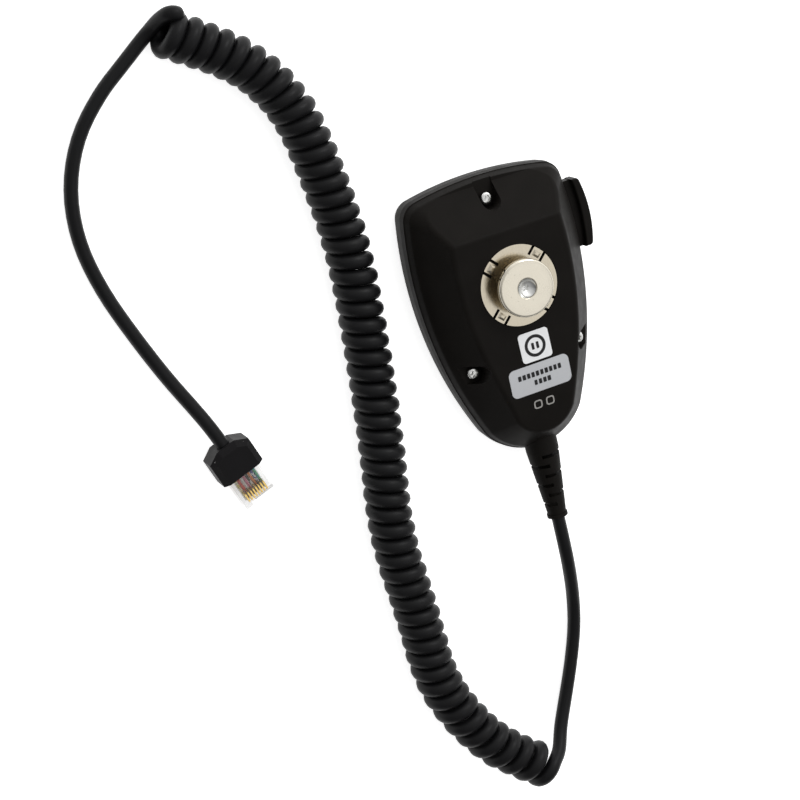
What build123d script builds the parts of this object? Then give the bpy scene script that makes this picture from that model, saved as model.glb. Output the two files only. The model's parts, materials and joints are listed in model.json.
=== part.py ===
from build123d import *

import os
from math import cos, pi, radians, sin, sqrt, tan

# Hand microphone, lying on its front face. Millimetres. +Y runs up the case, away from the cord, and +Z out of
# its back. The origin is on the surface it lies on, under the middle of the microphone.

# Place of the hang-up stud's axis. Case sizes are measured from it.
STUD_X, STUD_Y = -2.6, 24.65
CASE = Plane(origin=(STUD_X, STUD_Y, 0))
SIDE = Plane(origin=(STUD_X, STUD_Y, 0), x_dir=(0, 1, 0), z_dir=(1, 0, 0))
STUD_AXIS = Axis((STUD_X, STUD_Y, 0), (0, 0, 1))

# Case outline
HALF_WIDTH, HALF_WIDTH_Y = 30.3, 7.0
TOP_Y, TOP_SAG = 35.8, 3.4
BOTTOM_Y, BOTTOM_SAG = -59.6, 9.6
SIDE_RADIUS = 135.7
CORNER_RADIUS = 6.5

# Case heights, and how far the outline is drawn in at each
WIDEST_Z = 8.3
PARTING_Z, PARTING_INSET = 11.0, 0.4
SHOULDER_Z, SHOULDER_INSET = 14.0, 1.4
PLATEAU_Z, PLATEAU_INSET = 26.0, 10.3
FACE_ROUND, SHOULDER_ROUND, CROWN_ROUND = 4.0, 2.5, 2.2
WALL = 2.2
FRONT_WALL = 2.0
PLATEAU_TOP_Y, TOP_SLOPE = 18.8, 0.844
PLATEAU_LOW_Y, ROUND_LOW_Y = -24.0, -60.0

# Hang-up stud and the slotted plate under it
PLATE_RADIUS, PLATE_THICKNESS, PLATE_GAP = 13.45, 1.2, 0.3
HEAD_RADIUS, HEAD_UNDERSIDE_Z, HEAD_TOP_Z = 9.6, 30.3, 32.5
NECK_RADIUS = 4.6
STUD_SCREW_RADIUS = 1.75
STUD_HOLE_RADIUS = 3.25
STUD_BOSS_LOW_Z, STUD_NUT_LOW_Z = 18.9, 15.8
LUG_THICKNESS = 0.7

# Cover screws: place and the floor of the pocket each one sits in
COVER_SCREWS = [(19.2, -25.8, 16.3), (-19.2, -25.8, 16.3), (0.0, 28.1, 13.5)]
POCKET_RADIUS, POCKET_WALL = 3.3, 1.6
SCREW_HEAD_RADIUS, SCREW_HEAD_HEIGHT, SCREW_RADIUS = 2.15, 1.9, 1.4
SCREW_TIP_Z = 3.4

# Push-to-talk bar and its switch
BAR_LOW_Y, BAR_HIGH_Y = 1.5, 24.8
CAP_LOW_Z, CAP_HIGH_Z = 6.9, 13.0
CAP_OUTER_X = (34.2, 35.5, 33.8)
CAP_INNER_X = (31.6, 32.4, 31.3)
CAP_BULGE_Y = 9.9
NECK_LOW_Z, NECK_HIGH_Z = 7.3, 10.9
FLANGE_INNER_X, FLANGE_OUTER_X, FLANGE_MARGIN = 23.6, 25.6, 1.2
WINDOW_MARGIN, SEAL_PLAY = 0.9, 0.06
SPRING_SEAT_X, SPRING_RADIUS, SPRING_WIRE = 18.2, 1.8, 0.5
SPRING_Y = [5.2, 20.8]
SWITCH_Y, SWITCH_Z, SWITCH_FACE_X = 13.0, 8.8, 19.4
PLUNGER_RADIUS, PLUNGER_PLAY = 1.1, 0.05

# Circuit board and what stands on it
BOARD_LOW_Z, BOARD_TOP_Z = 8.6, 10.2
BOARD_X, BOARD_Y = (-14.0, 11.5), (-36.5, 19.0)
BOARD_POSTS = [(-11.0, 16.0), (8.5, 16.0), (-11.0, -33.0), (8.5, -33.0)]
CAPSULE_Y, CAPSULE_RADIUS, BOOT_WALL = 6.0, 9.0, 1.4

# Cord, strain relief and clamp
CORD_DIAMETER, COIL_DIAMETER = 4.6, 15.6
RELIEF_Z = 12.8
RELIEF_INNER_Y, RELIEF_FLANGE_Y, RELIEF_END_Y = -47.2, -49.2, -85.1
RELIEF_RADIUS, RELIEF_TIP_RADIUS = 5.6, 3.2
CORD_STRIPPED_Y = -38.0
CLAMP_Y = (-46.0, -42.0)

# Plug: the cord enters it here, and it points along this bearing
PLUG_X, PLUG_Y, PLUG_BEARING = -106.5, 0.15, -71.5
BOOT_LENGTH, BOOT_WIDTH, BOOT_HEIGHT, BOOT_SHOULDER, BOOT_CHAMFER = 11.1, 15.4, 10.2, 2.4, 1.9
PLUG_BACK, PLUG_TIP, PLUG_WIDTH = 1.9, 21.8, 11.68
PLUG_LOW_Z, PLUG_HIGH_Z, PLUG_CORD_Z = 2.4, 9.0, 5.5
CONTACT_COUNT, CONTACT_PITCH = 8, 1.02

# Routes of the cord's three stretches
MIC_TAIL = [
    (STUD_X, STUD_Y + RELIEF_END_Y, RELIEF_Z),
    (-2.6, -72.0, 12.8),
    (-1.6, -83.5, 9.2),
    (-0.8, -95.0, 4.6),
    (-2.0, -106.5, 2.3),
    (-6.0, -119.0, 2.3),
    (-11.5, -132.0, 2.6),
    (-17.4, -142.8, 5.6),
    (-22.8, -149.6, 9.4),
]
COIL = [
    (-24.5, -151.2, COIL_DIAMETER / 2),
    (-39.3, -139.4, COIL_DIAMETER / 2),
    (-50.6, -122.0, COIL_DIAMETER / 2),
    (-57.6, -103.0, COIL_DIAMETER / 2),
    (-57.8, -78.0, COIL_DIAMETER / 2),
    (-60.2, -48.0, COIL_DIAMETER / 2),
    (-55.4, -17.0, COIL_DIAMETER / 2),
    (-52.0, 17.0, COIL_DIAMETER / 2),
    (-49.8, 50.0, COIL_DIAMETER / 2),
    (-52.9, 80.4, COIL_DIAMETER / 2),
    (-56.4, 98.2, COIL_DIAMETER / 2),
    (-64.6, 112.6, COIL_DIAMETER / 2),
    (-76.3, 122.9, COIL_DIAMETER / 2),
    (-89.2, 130.8, COIL_DIAMETER / 2),
]
PLUG_TAIL = [
    (-86.2, 133.4, 8.6),
    (-94.3, 131.7, 4.0),
    (-103.0, 126.9, 2.3),
    (-113.5, 118.8, 2.3),
    (-124.0, 108.0, 2.3),
    (-130.9, 93.5, 2.3),
    (-132.9, 77.0, 2.3),
    (-130.0, 60.0, 2.3),
    (-124.2, 43.0, 2.3),
    (-117.6, 26.2, 2.3),
    (-111.9, 14.0, 3.2),
    (-108.1, 4.9, 5.5),
    (-104.9, -4.6, PLUG_CORD_Z),
]

parts = {}


def keep(name, builder):
    """Label a finished piece and file it under its node's name."""
    builder.part.label = name
    parts[name] = builder.part


def case_section(height, inset):
    """Give the case's outline at a height, drawn in evenly by inset."""
    radius = SIDE_RADIUS - inset
    top, bottom, half = TOP_Y - inset, BOTTOM_Y + inset, HALF_WIDTH - inset
    top_y, bottom_y = top - TOP_SAG, bottom + BOTTOM_SAG - 0.45 * inset
    top_x = half - radius + sqrt(radius**2 - (top_y - HALF_WIDTH_Y) ** 2)
    bottom_x = half - radius + sqrt(radius**2 - (bottom_y - HALF_WIDTH_Y) ** 2)
    with BuildSketch(CASE.offset(height)) as section:
        with BuildLine():
            ThreePointArc((-top_x, top_y), (0, top), (top_x, top_y))
            ThreePointArc((top_x, top_y), (half, HALF_WIDTH_Y), (bottom_x, bottom_y))
            ThreePointArc((bottom_x, bottom_y), (0, bottom), (-bottom_x, bottom_y))
            ThreePointArc((-bottom_x, bottom_y), (-half, HALF_WIDTH_Y), (-top_x, top_y))
        make_face()
        fillet(section.vertices(), radius=CORNER_RADIUS - 0.4 * inset)
    return section.sketch


def roof_profile(drop):
    """Give the side profile under the back's slopes and plateau, lowered by drop."""
    foot_y, floor_z = 40.0, 4.0
    foot_z = PLATEAU_Z - TOP_SLOPE * (foot_y - PLATEAU_TOP_Y)
    with BuildSketch(SIDE) as profile:
        with BuildLine():
            Polyline(
                (-62.0, floor_z),
                (foot_y, floor_z),
                (foot_y, foot_z - drop),
                (PLATEAU_TOP_Y, PLATEAU_Z - drop),
                (PLATEAU_LOW_Y, PLATEAU_Z - drop),
            )
            ThreePointArc(
                (PLATEAU_LOW_Y, PLATEAU_Z - drop), (-39.5, 25.2 - drop), (-53.0, 22.6 - drop)
            )
            ThreePointArc((-53.0, 22.6 - drop), (-58.0, 18.0 - drop), (-61.0, 10.0 - drop))
            Line((-61.0, 10.0 - drop), (-62.0, floor_z))
        make_face()
    return profile.sketch


def roof_block(drop):
    """Give a solid right across the case with the roof's profile."""
    with BuildPart() as block:
        extrude(roof_profile(drop), amount=HALF_WIDTH + 2, both=True)
    return block.part


def roof_rim(crown):
    """Give the crown's edges along both sides of its roof and across its ridge, down to ROUND_LOW_Y."""
    steepest_flank = 0.68
    roof = crown.faces().filter_by(lambda f: f.normal_at().Z > steepest_flank)
    rim = ShapeList()
    for edge in crown.edges():
        box = edge.bounding_box()
        low_y = box.min.Y - STUD_Y
        roof_faces = sum(edge.is_same(other) for face in roof for other in face.edges())
        on_side = roof_faces == 1 and box.size.Y > 0.3 and low_y > ROUND_LOW_Y
        on_ridge = roof_faces == 2 and abs(low_y - PLATEAU_TOP_Y) < 0.1
        if on_side or on_ridge:
            rim.append(edge)
    return rim


def pocket_outline(x, y, radius, height):
    """Give a pocket's outline: round inside, and open towards the nearest side of the case."""
    reach = 12.0
    side = 1 if x > 0 else -1
    with BuildSketch(CASE.offset(height)) as outline:
        with Locations((x, y)):
            Circle(radius)
        if x == 0:
            with Locations((x, y + reach / 2)):
                Rectangle(2 * radius, reach)
        else:
            with Locations((x + side * reach / 2, y)):
                Rectangle(reach, 2 * radius)
    return outline.sketch


def upright(x, y, radius, low, high):
    """Give an upright round post, pin or hole, placed from the stud's axis."""
    with BuildPart() as post:
        with BuildSketch(CASE.offset(low)):
            with Locations((x, y)):
                Circle(radius)
        extrude(amount=high - low)
    return post.part


def block(x, y, z, corner=0.0, plane=CASE):
    """Give a block between low and high values of x, y and z, with its upright corners rounded."""
    with BuildPart() as box:
        with BuildSketch(plane.offset(z[0])):
            with Locations(((x[0] + x[1]) / 2, (y[0] + y[1]) / 2)):
                if corner:
                    RectangleRounded(x[1] - x[0], y[1] - y[0], corner)
                else:
                    Rectangle(x[1] - x[0], y[1] - y[0])
        extrude(amount=z[1] - z[0])
    return box.part


def star_recess(x, y, radius, low, high):
    """Give the six-lobed hollow in a screw's head."""
    with BuildPart() as recess:
        with BuildSketch(CASE.offset(low)):
            with Locations((x, y)):
                Circle(0.72 * radius)
                with PolarLocations(0.72 * radius, 6):
                    Circle(0.28 * radius)
        extrude(amount=high - low)
    return recess.part


def cord_tube(points, diameter):
    """Give a tube along a route whose corners are as round as its runs allow, and say how round."""
    corners = [Vector(*p) for p in points]
    runs = [b - a for a, b in zip(corners, corners[1:])]
    radii = []
    for before, after in zip(runs, runs[1:]):
        half_turn = radians(before.get_angle(after) / 2)
        radii.append(0.45 * min(before.length, after.length) / tan(half_turn))
    with BuildPart() as tube:
        with BuildLine() as route:
            FilletPolyline(*corners, radius=radii)
        with BuildSketch(Plane(origin=route.line @ 0, z_dir=route.line % 0)):
            Circle(diameter / 2)
        sweep()
    length = sum(edge.length for edge in route.edges())
    expected = length * pi * diameter**2 / 4
    print("tube length", round(length, 1), "volume ratio", round(tube.part.volume / expected, 4))
    print("  bend radii", [round(r, 1) for r in radii])
    return tube


# ---- Back cover -------------------------------------------------------------------------------------------------

# Two bodies, one with its crown rounded and one with its shoulder rounded, share the cover's outer shape
with BuildPart() as crown_rounded:
    loft([case_section(SHOULDER_Z, SHOULDER_INSET), case_section(PLATEAU_Z, PLATEAU_INSET)], ruled=True)
    add(roof_block(0), mode=Mode.INTERSECT)
    fillet(roof_rim(crown_rounded), radius=CROWN_ROUND)
    loft([case_section(PARTING_Z, PARTING_INSET), case_section(SHOULDER_Z, SHOULDER_INSET)], ruled=True)

with BuildPart() as cover_outside:
    loft([case_section(PARTING_Z, PARTING_INSET), case_section(SHOULDER_Z, SHOULDER_INSET)], ruled=True)
    loft([case_section(SHOULDER_Z, SHOULDER_INSET), case_section(PLATEAU_Z, PLATEAU_INSET)], ruled=True)
    shoulder = cover_outside.edges().filter_by_position(Axis.Z, SHOULDER_Z - 0.01, SHOULDER_Z + 0.01)
    fillet(shoulder, radius=SHOULDER_ROUND)
    add(crown_rounded.part, mode=Mode.INTERSECT)

with BuildPart() as cover_inside:
    loft(
        [
            case_section(PARTING_Z, PARTING_INSET + WALL),
            case_section(SHOULDER_Z, SHOULDER_INSET + WALL),
        ],
        ruled=True,
    )
    loft(
        [
            case_section(SHOULDER_Z, SHOULDER_INSET + WALL),
            case_section(PLATEAU_Z, PLATEAU_INSET + WALL),
        ],
        ruled=True,
    )
    add(roof_block(WALL + 0.2), mode=Mode.INTERSECT)

with BuildPart() as pocket_posts:
    for x, y, floor in COVER_SCREWS:
        extrude(
            pocket_outline(x, y, POCKET_RADIUS + POCKET_WALL, PARTING_Z), amount=PLATEAU_Z - PARTING_Z
        )
    add(cover_outside.part, mode=Mode.INTERSECT)

window_y = (BAR_LOW_Y - WINDOW_MARGIN, BAR_HIGH_Y + WINDOW_MARGIN)
window_z = (NECK_LOW_Z - WINDOW_MARGIN, NECK_HIGH_Z + WINDOW_MARGIN)
bar_window = block((21.0, 40.0), window_y, window_z)

with BuildPart() as relief_hole:
    with BuildSketch(Plane(origin=(STUD_X, STUD_Y - 50, RELIEF_Z), z_dir=(0, -1, 0))):
        Circle(RELIEF_RADIUS)
    extrude(amount=12)

with BuildPart() as back_cover:
    add(cover_outside.part)
    add(cover_inside.part, mode=Mode.SUBTRACT)
    add(pocket_posts.part)
    add(upright(0, 0, 5.5, STUD_BOSS_LOW_Z, PLATEAU_Z - 1))
    for x, y, floor in COVER_SCREWS:
        extrude(pocket_outline(x, y, POCKET_RADIUS, floor), amount=PLATEAU_Z, mode=Mode.SUBTRACT)
        add(upright(x, y, SCREW_RADIUS + 0.2, PARTING_Z - 1, floor + 1), mode=Mode.SUBTRACT)
    plate_seat_z = PLATEAU_Z - PLATE_THICKNESS
    add(upright(0, 0, PLATE_RADIUS + PLATE_GAP, plate_seat_z, PLATEAU_Z + 1), mode=Mode.SUBTRACT)
    add(upright(0, 0, STUD_SCREW_RADIUS, STUD_BOSS_LOW_Z - 1, PLATEAU_Z), mode=Mode.SUBTRACT)
    add(bar_window, mode=Mode.SUBTRACT)
    add(relief_hole.part, mode=Mode.SUBTRACT)
keep("back_cover", back_cover)

# ---- Front shell ------------------------------------------------------------------------------------------------

with BuildPart() as front_shell:
    loft([case_section(0, 0.5), case_section(WIDEST_Z, 0)], ruled=True)
    loft([case_section(WIDEST_Z, 0), case_section(PARTING_Z, PARTING_INSET / 2)], ruled=True)
    fillet(front_shell.edges().group_by(Axis.Z)[0], radius=FACE_ROUND)
    inside_rim_z = 5.0
    loft(
        [case_section(FRONT_WALL, WALL + 2.4), case_section(inside_rim_z, WALL + 0.3)],
        ruled=True,
        mode=Mode.SUBTRACT,
    )
    extrude(case_section(inside_rim_z, WALL + 0.3), amount=PARTING_Z, mode=Mode.SUBTRACT)
    # Screw posts, board posts, switch pedestal, spring seats and the cord's cradle
    for x, y, floor in COVER_SCREWS:
        add(upright(x, y, 3.6, FRONT_WALL - 0.5, PARTING_Z))
        add(upright(x, y, SCREW_RADIUS, SCREW_TIP_Z, PARTING_Z + 1), mode=Mode.SUBTRACT)
    for x, y in BOARD_POSTS:
        add(upright(x, y, 2.4, FRONT_WALL - 0.5, BOARD_LOW_Z))
        add(upright(x, y, 0.9, 4.0, BOARD_LOW_Z + 1), mode=Mode.SUBTRACT)
    add(block((13.5, 18.9), (10.3, 15.7), (FRONT_WALL - 0.5, 5.6)))
    for seat_y in ((2.0, 8.6), (17.4, 24.0)):
        add(block((SPRING_SEAT_X - 1.8, SPRING_SEAT_X), seat_y, (FRONT_WALL - 0.5, 12.4)))
    add(block((-7.0, 7.0), CLAMP_Y, (FRONT_WALL - 0.5, RELIEF_Z - CORD_DIAMETER / 2)))
    for x in (-4.9, 4.9):
        clamp_mid_y = sum(CLAMP_Y) / 2
        add(upright(x, clamp_mid_y, 0.9, 4.0, PARTING_Z), mode=Mode.SUBTRACT)
    # Sound slots in front of the capsule
    for row in range(-3, 4):
        slot_half = sqrt(8.2**2 - (2.3 * row) ** 2)
        slot_y = CAPSULE_Y + 2.3 * row
        slot = block((-slot_half, slot_half), (slot_y - 0.6, slot_y + 0.6), (-1.0, FRONT_WALL + 0.5), 0.55)
        add(slot, mode=Mode.SUBTRACT)
    add(bar_window, mode=Mode.SUBTRACT)
    add(relief_hole.part, mode=Mode.SUBTRACT)
keep("front_shell", front_shell)

# ---- Hang-up stud, plate and what holds them --------------------------------------------------------------------

with BuildPart() as stud_plate:
    add(upright(0, 0, PLATE_RADIUS, PLATEAU_Z - PLATE_THICKNESS, PLATEAU_Z))
    add(upright(0, 0, STUD_SCREW_RADIUS, PLATEAU_Z - 2, PLATEAU_Z + 1), mode=Mode.SUBTRACT)
    slot_length, slot_width, tab_half_width = 3.4, 0.95, 2.3
    with BuildSketch(CASE.offset(PLATEAU_Z - PLATE_THICKNESS)):
        with PolarLocations(PLATE_RADIUS - slot_length / 2, 4, start_angle=45):
            for side in (-1, 1):
                with Locations((0.4, side * tab_half_width)):
                    Rectangle(slot_length + 0.8, slot_width)
    extrude(amount=2 * PLATE_THICKNESS, mode=Mode.SUBTRACT)
    with BuildSketch(CASE.offset(PLATEAU_Z)):
        with PolarLocations(PLATE_RADIUS - 1.9, 4, start_angle=45):
            Rectangle(2.0, 2.6)
    extrude(amount=0.6, taper=48)
keep("stud_plate", stud_plate)

with BuildPart() as hang_up_stud:
    seat_z, seat_radius, seat_low_z = 31.2, 3.0, 29.6
    with BuildSketch(Plane(origin=(STUD_X, STUD_Y, 0), x_dir=(1, 0, 0), z_dir=(0, -1, 0))):
        with BuildLine():
            Polyline(
                (STUD_SCREW_RADIUS, PLATEAU_Z),
                (NECK_RADIUS, PLATEAU_Z),
                (NECK_RADIUS, HEAD_UNDERSIDE_Z),
                (HEAD_RADIUS, HEAD_UNDERSIDE_Z),
                (HEAD_RADIUS, HEAD_TOP_Z),
                (STUD_HOLE_RADIUS, HEAD_TOP_Z),
                (STUD_HOLE_RADIUS, seat_z),
                (seat_radius, seat_z),
                (STUD_SCREW_RADIUS, seat_low_z),
                close=True,
            )
        make_face()
    revolve(axis=STUD_AXIS)
    rim = hang_up_stud.edges().filter_by(GeomType.CIRCLE).filter_by(lambda e: e.radius > HEAD_RADIUS - 0.1)
    fillet(rim.sort_by(Axis.Z)[-1], radius=0.7)
    fillet(
        hang_up_stud.edges()
        .filter_by(GeomType.CIRCLE)
        .filter_by(lambda e: e.radius > HEAD_RADIUS - 0.1)
        .sort_by(Axis.Z)[0],
        radius=0.4,
    )
keep("hang_up_stud", hang_up_stud)

with BuildPart() as stud_screw:
    with BuildSketch(Plane(origin=(STUD_X, STUD_Y, 0), x_dir=(1, 0, 0), z_dir=(0, -1, 0))):
        with BuildLine():
            Polyline(
                (0, STUD_NUT_LOW_Z - 0.8),
                (STUD_SCREW_RADIUS, STUD_NUT_LOW_Z - 0.8),
                (STUD_SCREW_RADIUS, seat_low_z),
                (seat_radius, seat_z),
                (0, seat_z),
                close=True,
            )
        make_face()
    revolve(axis=STUD_AXIS)
    add(star_recess(0, 0, 1.7, seat_z - 1.1, seat_z), mode=Mode.SUBTRACT)
keep("stud_screw", stud_screw)

with BuildPart() as stud_nut:
    with BuildSketch(CASE.offset(STUD_NUT_LOW_Z)):
        RegularPolygon(radius=3.75, side_count=6)
        Circle(STUD_SCREW_RADIUS, mode=Mode.SUBTRACT)
    extrude(amount=STUD_BOSS_LOW_Z - LUG_THICKNESS - STUD_NUT_LOW_Z)
keep("stud_nut", stud_nut)

with BuildPart() as hang_up_lead:
    with BuildSketch(CASE.offset(STUD_BOSS_LOW_Z - LUG_THICKNESS)):
        Circle(4.3)
        with Locations((5.6, 0)):
            Rectangle(4.0, 2.2)
        Circle(STUD_SCREW_RADIUS, mode=Mode.SUBTRACT)
    extrude(amount=LUG_THICKNESS)
    lead_top_z = STUD_BOSS_LOW_Z - LUG_THICKNESS / 2
    with BuildLine() as lead_route:
        FilletPolyline(
            (STUD_X + 7.0, STUD_Y, lead_top_z),
            (STUD_X + 9.6, STUD_Y, lead_top_z),
            (STUD_X + 9.6, STUD_Y - 6, BOARD_TOP_Z + 3),
            (STUD_X + 9.6, STUD_Y - 6, BOARD_TOP_Z),
            radius=1.4,
        )
    with BuildSketch(Plane(origin=lead_route.line @ 0, z_dir=lead_route.line % 0)):
        Circle(0.6)
    sweep()
keep("hang_up_lead", hang_up_lead)

# ---- Cover screws -----------------------------------------------------------------------------------------------

with BuildPart() as cover_screws:
    for x, y, floor in COVER_SCREWS:
        with BuildSketch(CASE.offset(floor)):
            with Locations((x, y)):
                Circle(SCREW_HEAD_RADIUS)
        extrude(amount=SCREW_HEAD_HEIGHT)
        add(upright(x, y, SCREW_RADIUS, SCREW_TIP_Z, floor))
    tops = cover_screws.edges().filter_by(GeomType.CIRCLE)
    head_rims = tops.filter_by(lambda e: e.radius > SCREW_HEAD_RADIUS - 0.01).filter_by(
        lambda e: any(abs(e.center().Z - f - SCREW_HEAD_HEIGHT) < 0.01 for _, _, f in COVER_SCREWS)
    )
    fillet(head_rims, radius=0.6)
    for x, y, floor in COVER_SCREWS:
        head_top = floor + SCREW_HEAD_HEIGHT
        add(star_recess(x, y, 1.15, head_top - 1.0, head_top), mode=Mode.SUBTRACT)
keep("cover_screws", cover_screws)

# ---- Labels, which follow the roof ------------------------------------------------------------------------------


def roof_label(x, y, width, height, corner, thickness):
    """Give a thin label stuck on the back, following its curve."""
    with BuildPart() as label:
        with BuildSketch(CASE.offset(PLATEAU_Z - 5)):
            with Locations((x, y)):
                RectangleRounded(width, height, corner)
        extrude(amount=10)
        add(roof_block(-thickness), mode=Mode.INTERSECT)
        add(roof_block(0), mode=Mode.SUBTRACT)
    return label


square_label = roof_label(0.65, -21.0, 10.8, 10.0, 1.2, 0.2)
keep("square_label", square_label)
wide_label = roof_label(0.1, -31.7, 21.8, 9.7, 2.0, 0.2)
keep("wide_label", wide_label)

# ---- Push-to-talk bar, seal, springs and switch -----------------------------------------------------------------

with BuildPart() as ptt_bar:
    with BuildSketch(CASE.offset(CAP_LOW_Z)):
        bar_y = (BAR_LOW_Y, CAP_BULGE_Y, BAR_HIGH_Y)
        with BuildLine():
            ThreePointArc(*zip(CAP_OUTER_X, bar_y))
            Line((CAP_OUTER_X[2], BAR_HIGH_Y), (CAP_INNER_X[2], BAR_HIGH_Y))
            ThreePointArc(*zip(reversed(CAP_INNER_X), reversed(bar_y)))
            Line((CAP_INNER_X[0], BAR_LOW_Y), (CAP_OUTER_X[0], BAR_LOW_Y))
        make_face()
    extrude(amount=CAP_HIGH_Z - CAP_LOW_Z)
    fillet(ptt_bar.edges().filter_by(Axis.Z).sort_by(Axis.X)[-2:], radius=1.3)
    fillet(ptt_bar.faces().sort_by(Axis.Z)[-1].edges(), radius=0.6)
    fillet(ptt_bar.faces().sort_by(Axis.Z)[0].edges(), radius=0.6)
    neck_end_x = CAP_OUTER_X[2] - 1.2
    add(block((FLANGE_OUTER_X, neck_end_x), (BAR_LOW_Y + 0.2, BAR_HIGH_Y - 0.2), (NECK_LOW_Z, NECK_HIGH_Z)))
    flange_y = (BAR_LOW_Y - FLANGE_MARGIN, BAR_HIGH_Y + FLANGE_MARGIN)
    flange_z = (NECK_LOW_Z - FLANGE_MARGIN, NECK_HIGH_Z + FLANGE_MARGIN)
    add(block((FLANGE_INNER_X, FLANGE_OUTER_X), flange_y, flange_z))
keep("ptt_bar", ptt_bar)

with BuildPart() as ptt_seal:
    seal_outer_inset, seal_inner_inset = 1.5, 2.7
    add(bar_window)
    bar_space = block(
        (20.0, 41.0),
        (BAR_LOW_Y + 0.2 - SEAL_PLAY, BAR_HIGH_Y - 0.2 + SEAL_PLAY),
        (NECK_LOW_Z - SEAL_PLAY, NECK_HIGH_Z + SEAL_PLAY),
    )
    add(bar_space, mode=Mode.SUBTRACT)
    extrude(case_section(0, seal_outer_inset), amount=2 * PARTING_Z, mode=Mode.INTERSECT)
    extrude(case_section(0, seal_inner_inset), amount=2 * PARTING_Z, mode=Mode.SUBTRACT)
keep("ptt_seal", ptt_seal)

with BuildPart() as ptt_springs:
    for spring_y in SPRING_Y:
        spring_start = (STUD_X + SPRING_SEAT_X + SPRING_WIRE / 2, STUD_Y + spring_y, SWITCH_Z)
        spring_length = FLANGE_INNER_X - SPRING_SEAT_X - SPRING_WIRE
        with BuildLine() as coil_line:
            Helix(spring_length / 4, spring_length, SPRING_RADIUS, center=spring_start, direction=(1, 0, 0))
        with BuildSketch(Plane(origin=coil_line.line @ 0, z_dir=coil_line.line % 0)):
            Circle(SPRING_WIRE / 2)
        sweep(is_frenet=True)
keep("ptt_springs", ptt_springs)

switch_facing = SIDE.offset(SWITCH_FACE_X)

with BuildPart() as ptt_switch:
    add(block((13.0, SWITCH_FACE_X), (SWITCH_Y - 3.2, SWITCH_Y + 3.2), (5.6, 11.6)))
    for pin_y in (-2.0, 0.0, 2.0):
        pin_at = SWITCH_Y + pin_y
        add(block((10.6, 13.0), (pin_at - 0.4, pin_at + 0.4), (BOARD_TOP_Z, BOARD_TOP_Z + 0.4)))
    with BuildSketch(switch_facing):
        with Locations((SWITCH_Y, SWITCH_Z)):
            Circle(PLUNGER_RADIUS + PLUNGER_PLAY)
    extrude(amount=-4.2, mode=Mode.SUBTRACT)
keep("ptt_switch", ptt_switch)

with BuildPart() as ptt_plunger:
    with BuildSketch(SIDE.offset(FLANGE_INNER_X)):
        with Locations((SWITCH_Y, SWITCH_Z)):
            Circle(PLUNGER_RADIUS)
    extrude(amount=-5.9)
keep("ptt_plunger", ptt_plunger)

# ---- Capsule, board and electronics -----------------------------------------------------------------------------

cloth_top_z = FRONT_WALL + 0.4
with BuildPart() as grille_cloth:
    add(upright(0, CAPSULE_Y, CAPSULE_RADIUS, FRONT_WALL, cloth_top_z))
keep("grille_cloth", grille_cloth)

capsule_top_z, boot_top_z = 7.6, 8.2
with BuildPart() as mic_capsule:
    add(upright(0, CAPSULE_Y, CAPSULE_RADIUS, cloth_top_z, capsule_top_z))
    fillet(mic_capsule.edges().group_by(Axis.Z)[-1], radius=0.5)
    for pin_x in (-2.0, 2.0):
        add(upright(pin_x, CAPSULE_Y, 0.4, capsule_top_z - 0.5, BOARD_LOW_Z))
keep("mic_capsule", mic_capsule)

with BuildPart() as capsule_boot:
    add(upright(0, CAPSULE_Y, CAPSULE_RADIUS + BOOT_WALL, FRONT_WALL, boot_top_z))
    add(upright(0, CAPSULE_Y, CAPSULE_RADIUS, FRONT_WALL - 1, capsule_top_z), mode=Mode.SUBTRACT)
    add(upright(0, CAPSULE_Y, CAPSULE_RADIUS - 2, FRONT_WALL, boot_top_z + 1), mode=Mode.SUBTRACT)
keep("capsule_boot", capsule_boot)

with BuildPart() as circuit_board:
    add(block(BOARD_X, BOARD_Y, (BOARD_LOW_Z, BOARD_TOP_Z), 1.0))
    for x, y in BOARD_POSTS:
        add(upright(x, y, 0.9, BOARD_LOW_Z - 1, BOARD_TOP_Z + 1), mode=Mode.SUBTRACT)
keep("circuit_board", circuit_board)

with BuildPart() as board_screws:
    for x, y in BOARD_POSTS:
        add(upright(x, y, 1.8, BOARD_TOP_Z, BOARD_TOP_Z + 1.2))
        add(upright(x, y, 0.9, 4.2, BOARD_TOP_Z))
keep("board_screws", board_screws)

with BuildPart() as preamp_chip:
    add(block((-2.6, 2.6), (-12.5, -8.5), (BOARD_TOP_Z + 0.3, BOARD_TOP_Z + 1.8)))
    for pin in range(4):
        pin_x = -1.9 + 1.27 * pin
        for pin_y in ((-13.5, -12.5), (-8.5, -7.5)):
            add(block((pin_x - 0.2, pin_x + 0.2), pin_y, (BOARD_TOP_Z, BOARD_TOP_Z + 0.9)))
keep("preamp_chip", preamp_chip)

with BuildPart() as board_capacitors:
    for x, y in [(-8.0, -14.0), (-8.0, -21.5), (6.5, -21.5)]:
        add(upright(x, y, 2.5, BOARD_TOP_Z, BOARD_TOP_Z + 5.0))
    fillet(board_capacitors.edges().group_by(Axis.Z)[-1], radius=0.4)
keep("board_capacitors", board_capacitors)

with BuildPart() as cord_header:
    add(block((-5.4, 5.4), (-33.4, -29.0), (BOARD_TOP_Z, BOARD_TOP_Z + 4.6)))
    for slot in range(4):
        slot_x = -3.75 + 2.5 * slot
        add(block((slot_x - 0.6, slot_x + 0.6), (-32.4, -30.4), (BOARD_TOP_Z + 3, 20.0)), mode=Mode.SUBTRACT)
keep("cord_header", cord_header)

# ---- Cord inside the case, clamp and strain relief --------------------------------------------------------------

ALONG_CORD = Plane(origin=(STUD_X, STUD_Y, RELIEF_Z), x_dir=(1, 0, 0), z_dir=(0, -1, 0))

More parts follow.
